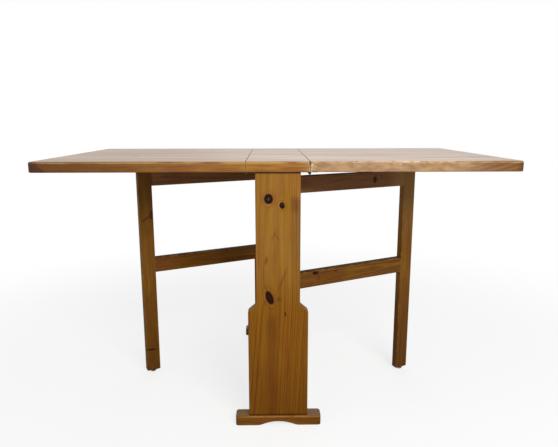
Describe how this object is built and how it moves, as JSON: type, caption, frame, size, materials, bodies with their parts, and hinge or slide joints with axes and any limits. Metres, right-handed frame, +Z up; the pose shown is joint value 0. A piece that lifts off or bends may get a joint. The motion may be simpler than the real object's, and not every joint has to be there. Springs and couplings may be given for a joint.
{
  "type": "butterfly folding table",
  "caption": "Narrow wooden trestle table whose two hinged leaves are held up by gates that swing out from the trestle and fold flat again.",
  "frame": {"origin": "on the floor under the middle of the opened top", "axes": "+Z up, +X along the length of the opened top towards the right leaf, +Y across the top from the front end panel to the back one"},
  "size_m": [1.287, 0.68, 0.75],
  "materials": {
    "pine_top": "varnished pine, semi-gloss, worn at the edges",
    "pine_trestle": "varnished pine, semi-gloss",
    "pine_gate": "varnished pine, satin, darkened",
    "beech_dowel": "plain",
    "hinge_steel": "dulled plating",
    "screw_steel": "zinc plated",
    "pivot_steel": "bright drawn",
    "glide_metal": "worn nickel plating",
    "washer_nylon": "matt"
  },
  "bodies": {
    "trestle": {"back_end_panel": "pine_trestle", "back_foot": "pine_trestle", "back_left_cleat": "pine_trestle", "back_right_cleat": "pine_trestle", "centre_board": "pine_top", "cleat_screws": "screw_steel", "foot_dowels": "beech_dowel", "foot_screws": "screw_steel", "front_end_panel": "pine_trestle", "front_foot": "pine_trestle", "front_left_cleat": "pine_trestle", "front_right_cleat": "pine_trestle", "left_hinge_centre_plates": "hinge_steel", "left_hinge_centre_screws": "hinge_steel", "left_hinge_pins": "hinge_steel", "left_pivot_block": "pine_trestle", "left_pivot_washer": "washer_nylon", "lower_stretcher": "pine_trestle", "pivot_block_screws": "screw_steel", "right_hinge_centre_plates": "hinge_steel", "right_hinge_centre_screws": "hinge_steel", "right_hinge_pins": "hinge_steel", "right_pivot_block": "pine_trestle", "right_pivot_washer": "washer_nylon", "stretcher_dowels": "beech_dowel", "upper_stretcher": "pine_trestle"},
    "right_gate": {"right_gate_bottom_pin": "pivot_steel", "right_gate_dowels": "beech_dowel", "right_gate_glide": "glide_metal", "right_gate_lower_rail": "pine_gate", "right_gate_outer_leg": "pine_gate", "right_gate_pivot_stile": "pine_gate", "right_gate_top_pin": "pivot_steel", "right_gate_top_rail": "pine_gate"},
    "left_gate": {"left_gate_bottom_pin": "pivot_steel", "left_gate_dowels": "beech_dowel", "left_gate_glide": "glide_metal", "left_gate_lower_rail": "pine_gate", "left_gate_outer_leg": "pine_gate", "left_gate_pivot_stile": "pine_gate", "left_gate_top_pin": "pivot_steel", "left_gate_top_rail": "pine_gate"},
    "right_leaf": {"right_gate_stop": "pine_trestle", "right_gate_stop_screws": "screw_steel", "right_hinge_leaf_plates": "hinge_steel", "right_hinge_leaf_screws": "hinge_steel", "right_leaf": "pine_top"},
    "left_leaf": {"left_gate_stop": "pine_trestle", "left_gate_stop_screws": "screw_steel", "left_hinge_leaf_plates": "hinge_steel", "left_hinge_leaf_screws": "hinge_steel", "left_leaf": "pine_top"}
  },
  "joints": [
    {"name": "right_gate_swing", "type": "hinge", "parent": "trestle", "child": "right_gate", "pos_m": [0.038, -0.193, 0.5], "axis": [0, 0, 1], "range_deg": [0, 65]},
    {"name": "left_gate_swing", "type": "hinge", "parent": "trestle", "child": "left_gate", "pos_m": [-0.038, 0.193, 0.5], "axis": [0, 0, 1], "range_deg": [0, 65]},
    {"name": "right_leaf_lift", "type": "hinge", "parent": "trestle", "child": "right_leaf", "pos_m": [0.08375, 0, 0.7179], "axis": [0, -1, 0], "range_deg": [0, 2]},
    {"name": "left_leaf_lift", "type": "hinge", "parent": "trestle", "child": "left_leaf", "pos_m": [-0.08375, 0, 0.7179], "axis": [0, 1, 0], "range_deg": [0, 2]}
  ]
}
